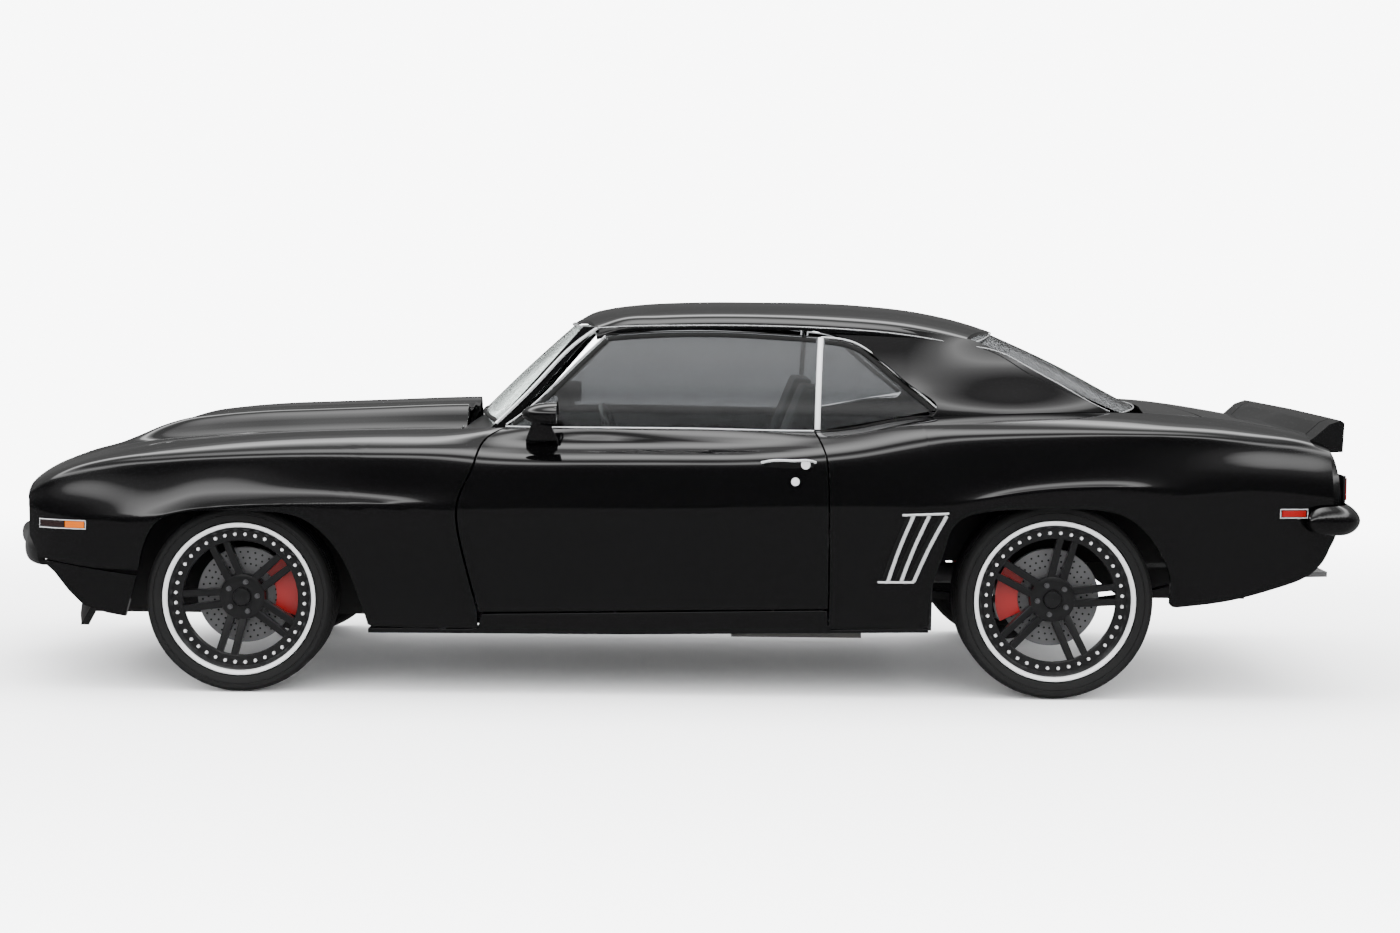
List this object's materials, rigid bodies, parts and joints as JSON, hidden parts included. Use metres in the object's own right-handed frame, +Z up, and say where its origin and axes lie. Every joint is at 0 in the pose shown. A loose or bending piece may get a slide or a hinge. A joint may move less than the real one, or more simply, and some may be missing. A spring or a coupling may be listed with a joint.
{
  "type": "muscle car",
  "caption": "Two-door muscle car coupe with a raised hood bulge, rear deck spoiler, low-profile tyres, opening doors and lids, steered front wheels and a furnished cabin.",
  "frame": {"origin": "on the ground, under the middle of the car's box", "axes": "+X towards the car's front, +Y to the car's left, +Z up"},
  "size_m": [4.724, 2.0246, 1.3203],
  "materials": {
    "body_paint": "gloss black",
    "black_metal": "gloss black",
    "black_plastic": "satin",
    "lamp_glass": "clear",
    "clear_glass": "clear, faint green",
    "tinted_glass": "dark tint",
    "red_lens": "gloss",
    "chrome": "polished",
    "tyre": "matte rubber",
    "rim_black": "satin black",
    "cast_iron": "as cast",
    "engine_iron": "painted",
    "red_metal": "gloss red",
    "chassis_metal": "satin black",
    "carpet": "matte",
    "dash_plastic": "grained",
    "wheel_leather": "satin",
    "seat_leather": "satin",
    "pipe_steel": "brushed",
    "tank_metal": "satin"
  },
  "bodies": {
    "body": {"fender_left": "body_paint", "fender_right": "body_paint", "quarter_panel_left": "body_paint", "quarter_panel_right": "body_paint", "sail_panel_left": "body_paint", "sail_panel_right": "body_paint", "spoiler_ends": "body_paint", "rocker_panels": "body_paint", "nose_panel": "body_paint", "grille": "black_plastic", "headlamps": "lamp_glass", "front_bumper": "black_metal", "front_valance": "body_paint", "chin_spoiler": "black_plastic", "cowl_panel": "body_paint", "roof": "body_paint", "windshield": "clear_glass", "rear_window": "tinted_glass", "quarter_glass": "tinted_glass", "deck_panel": "body_paint", "tail_panel": "body_paint", "tail_lamps": "red_lens", "rear_bumper": "black_metal", "powertrain": "engine_iron", "rear_axle": "cast_iron", "rear_calipers": "red_metal", "front_subframe": "chassis_metal", "leaf_springs": "chassis_metal", "floor_pan": "chassis_metal", "trunk_floor": "chassis_metal", "wheelhouses": "chassis_metal", "inner_fenders": "chassis_metal", "parcel_shelf": "carpet", "radiator_support": "chassis_metal", "dashboard": "dash_plastic", "front_seats": "seat_leather", "rear_seat": "seat_leather", "exhaust": "pipe_steel", "fuel_tank": "tank_metal"},
    "door_left": {"door_left": "body_paint", "door_glass_left": "tinted_glass", "door_mirror_left": "chrome"},
    "door_right": {"door_right": "body_paint", "door_glass_right": "tinted_glass", "door_mirror_right": "chrome"},
    "hood": {"hood": "body_paint"},
    "trunk_lid": {"trunk_lid": "body_paint", "rear_spoiler": "body_paint"},
    "steering_wheel": {"steering_wheel": "wheel_leather"},
    "knuckle_left": {"knuckle_left": "cast_iron"},
    "wheel_front_left": {"tyre_front_left": "tyre", "rim_front_left": "rim_black"},
    "wheel_rear_left": {"tyre_rear_left": "tyre", "rim_rear_left": "rim_black"},
    "knuckle_right": {"knuckle_right": "cast_iron"},
    "wheel_front_right": {"tyre_front_right": "tyre", "rim_front_right": "rim_black"},
    "wheel_rear_right": {"tyre_rear_right": "tyre", "rim_rear_right": "rim_black"}
  },
  "joints": [
    {"name": "steer_left", "type": "hinge", "parent": "body", "child": "knuckle_left", "pos_m": [1.422, 0.7, 0.315], "axis": [0, 0, 1], "range_deg": [-30, 30]},
    {"name": "steer_right", "type": "hinge", "parent": "body", "child": "knuckle_right", "pos_m": [1.422, -0.7, 0.315], "axis": [0, 0, 1], "range_deg": [-30, 30]},
    {"name": "spin_front_left", "type": "hinge", "parent": "knuckle_left", "child": "wheel_front_left", "pos_m": [1.422, 0.7615, 0.315], "axis": [0, 1, 0], "continuous": true},
    {"name": "spin_rear_left", "type": "hinge", "parent": "body", "child": "wheel_rear_left", "pos_m": [-1.321, 0.7465, 0.333], "axis": [0, 1, 0], "continuous": true},
    {"name": "spin_front_right", "type": "hinge", "parent": "knuckle_right", "child": "wheel_front_right", "pos_m": [1.422, -0.7615, 0.315], "axis": [0, 1, 0], "continuous": true},
    {"name": "spin_rear_right", "type": "hinge", "parent": "body", "child": "wheel_rear_right", "pos_m": [-1.321, -0.7465, 0.333], "axis": [0, 1, 0], "continuous": true},
    {"name": "steering", "type": "hinge", "parent": "body", "child": "steering_wheel", "pos_m": [0.15, 0.412, 0.79], "axis": [-0.9135, 0, 0.4067], "range_deg": [-420, 420]},
    {"name": "door_left_hinge", "type": "hinge", "parent": "body", "child": "door_left", "pos_m": [0.6, 0.905, 0.575], "axis": [0, 0, -1], "range_deg": [0, 65]},
    {"name": "door_right_hinge", "type": "hinge", "parent": "body", "child": "door_right", "pos_m": [0.6, -0.905, 0.575], "axis": [0, 0, 1], "range_deg": [0, 65]},
    {"name": "hood_hinge", "type": "hinge", "parent": "body", "child": "hood", "pos_m": [0.716, 0, 0.905], "axis": [0, -1, 0], "range_deg": [0, 50]},
    {"name": "trunk_hinge", "type": "hinge", "parent": "body", "child": "trunk_lid", "pos_m": [-1.7, 0, 0.925], "axis": [0, 1, 0], "range_deg": [0, 70]}
  ],
  "couplings": [
    {"joint": "steer_right", "follows": "steer_left", "ratio": 1},
    {"joint": "steering", "follows": "steer_left", "ratio": 14}
  ]
}
